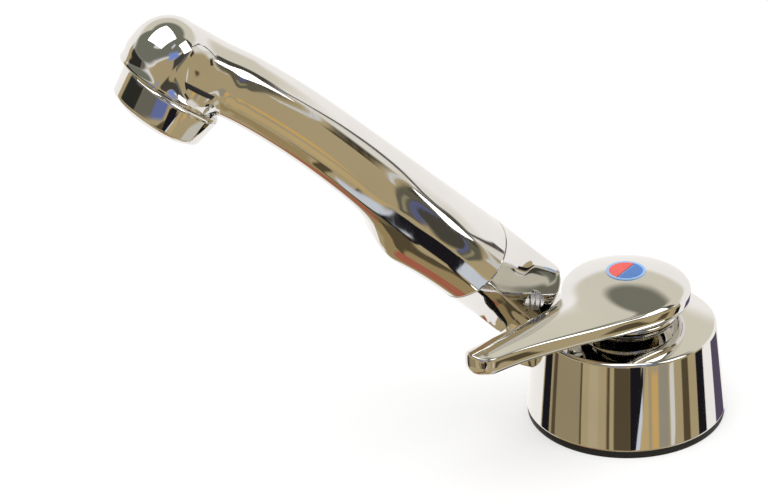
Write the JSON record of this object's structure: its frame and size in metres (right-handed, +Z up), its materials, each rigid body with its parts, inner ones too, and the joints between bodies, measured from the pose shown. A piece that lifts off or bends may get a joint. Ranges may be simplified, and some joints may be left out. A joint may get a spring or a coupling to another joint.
{
  "type": "single-lever mixer tap",
  "caption": "Compact chrome single-lever mixer tap whose spout swivels, folds down and rolls, with a threaded shank, worktop washers, nut and two inlet tails.",
  "frame": {"origin": "centre of the deck seal's underside, on the worktop's face", "axes": "+Z up out of the worktop along the swivel axis, -X along the spout, -Y to its left side seen from above with the spout pointing away"},
  "size_m": [0.1527, 0.0561, 0.2183],
  "materials": {
    "black_rubber": "matte",
    "blue_plastic": "glossy",
    "brass": "satin",
    "brass_shank": "satin",
    "ceramic": "polished ceramic",
    "chrome": "polished",
    "copper": "satin copper",
    "grey_plastic": "satin",
    "pale_blue_plastic": "glossy",
    "red_plastic": "glossy",
    "seal_rubber": "matte",
    "steel": "satin",
    "white_plastic": "satin"
  },
  "bodies": {
    "mount": {"deck_seal": "black_rubber", "mounting_shank": "brass_shank", "swivel_slip_ring": "white_plastic", "swivel_retaining_ring": "steel", "worktop_rubber_washer": "black_rubber", "clamp_washer": "steel", "fixing_nut": "brass"},
    "body": {"body_shell": "chrome", "valve_core": "brass", "swivel_o_ring": "seal_rubber", "cartridge_case": "grey_plastic", "cartridge_base_seals": "seal_rubber", "fixed_ceramic_disc": "ceramic", "cartridge_clamp_nut": "brass", "neck_collar": "chrome", "cold_inlet_tail": "copper", "hot_inlet_tail": "copper", "inlet_o_rings": "seal_rubber", "hinge_pin": "steel", "hinge_cap": "chrome"},
    "mixer": {"mix_carrier": "grey_plastic", "stem_pin": "steel"},
    "lever": {"lever": "chrome", "lever_stem": "steel", "lever_grub_screw": "steel", "indicator_plate": "pale_blue_plastic", "indicator_red": "red_plastic", "indicator_blue": "blue_plastic"},
    "disc": {"moving_ceramic_disc": "ceramic"},
    "knuckle": {"spout_knuckle": "chrome", "hinge_o_rings": "seal_rubber", "roll_spigot": "brass", "roll_o_rings": "seal_rubber", "roll_retaining_ring": "steel", "seam_washer": "white_plastic"},
    "spout": {"spout_shell": "chrome", "spout_water_tube": "white_plastic", "aerator_housing": "chrome", "aerator_insert": "white_plastic", "aerator_screen": "steel", "aerator_gasket": "seal_rubber"}
  },
  "joints": [
    {"name": "body_swivel", "type": "hinge", "parent": "mount", "child": "body", "pos_m": [0, 0, 0], "axis": [0, 0, 1], "range_deg": [-100, 100]},
    {"name": "lever_turn", "type": "hinge", "parent": "body", "child": "mixer", "pos_m": [0, 0, 0.0225], "axis": [0, 0, 1], "range_deg": [0, 90]},
    {"name": "lever_lift", "type": "hinge", "parent": "mixer", "child": "lever", "pos_m": [0, 0, 0.023], "axis": [-0.454, 0.891, 0], "range_deg": [0, 12]},
    {"name": "disc_slide", "type": "slide", "parent": "mixer", "child": "disc", "axis": [-0.891, -0.454, 0], "range_m": [0, 0.0008]},
    {"name": "spout_fold", "type": "hinge", "parent": "body", "child": "knuckle", "pos_m": [-0.0265, 0, 0.039], "axis": [0, -1, 0], "range_deg": [0, 45]},
    {"name": "spout_roll", "type": "hinge", "parent": "knuckle", "child": "spout", "pos_m": [-0.03952, 0, 0.05392], "axis": [-0.6574, 0, 0.7536], "range_deg": [-90, 90]}
  ],
  "couplings": [
    {"joint": "disc_slide", "follows": "lever_lift", "m_per_rad": 0.0038}
  ]
}
